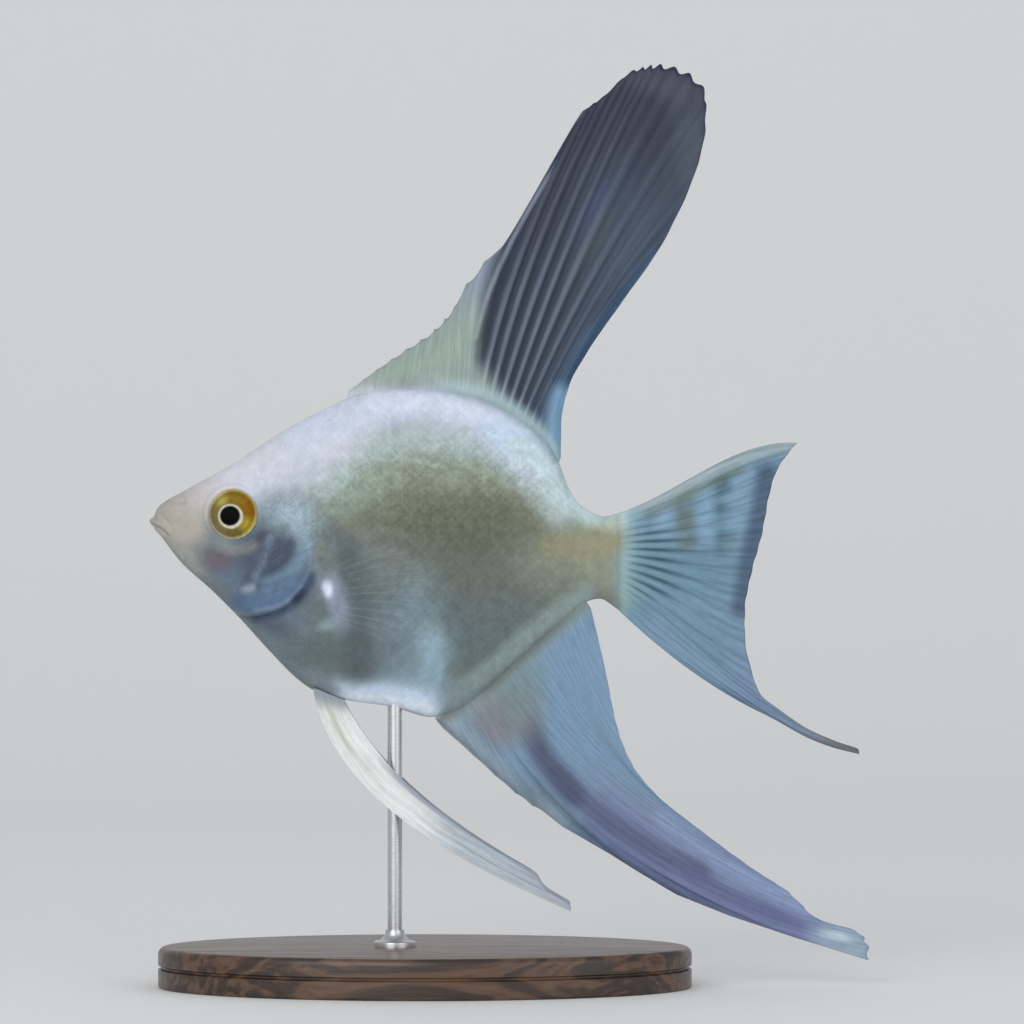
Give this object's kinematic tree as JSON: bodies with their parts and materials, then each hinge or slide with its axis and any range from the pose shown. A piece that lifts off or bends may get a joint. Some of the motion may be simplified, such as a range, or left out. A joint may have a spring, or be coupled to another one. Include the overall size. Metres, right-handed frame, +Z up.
{
  "type": "freshwater angelfish model",
  "caption": "Life-size still model of an adult freshwater angelfish of a pale blue strain, fins spread, held over an oval wooden base by one steel rod.",
  "frame": {"origin": "middle of the stand's flat underside, on the floor", "axes": "+Z up, the fish's head towards -X and its left flank towards -Y"},
  "size_m": [0.1236, 0.058, 0.1591],
  "materials": {
    "skin": "moist, pearly scaled skin",
    "eye": "wet golden iris with a black pupil",
    "fin": "rayed fin membrane, blue-grey to near black",
    "clear_fin": "thin clear rayed membrane",
    "wood": "dark oiled walnut",
    "steel": "satin"
  },
  "bodies": {
    "root": {"head": "skin", "upper_jaw": "skin", "lower_jaw": "skin", "gill_cover_left": "skin", "gill_cover_right": "skin", "trunk": "skin", "tail_stem": "skin", "eye_left": "eye", "eye_right": "eye", "dorsal_fin": "fin", "anal_fin": "fin", "caudal_fin": "fin", "pelvic_fin_left": "fin", "pelvic_fin_right": "fin", "pectoral_fin_left": "clear_fin", "pectoral_fin_right": "clear_fin", "stand_base": "wood", "stand_rod": "steel", "stand_ferrule": "steel"}
  },
  "joints": []
}
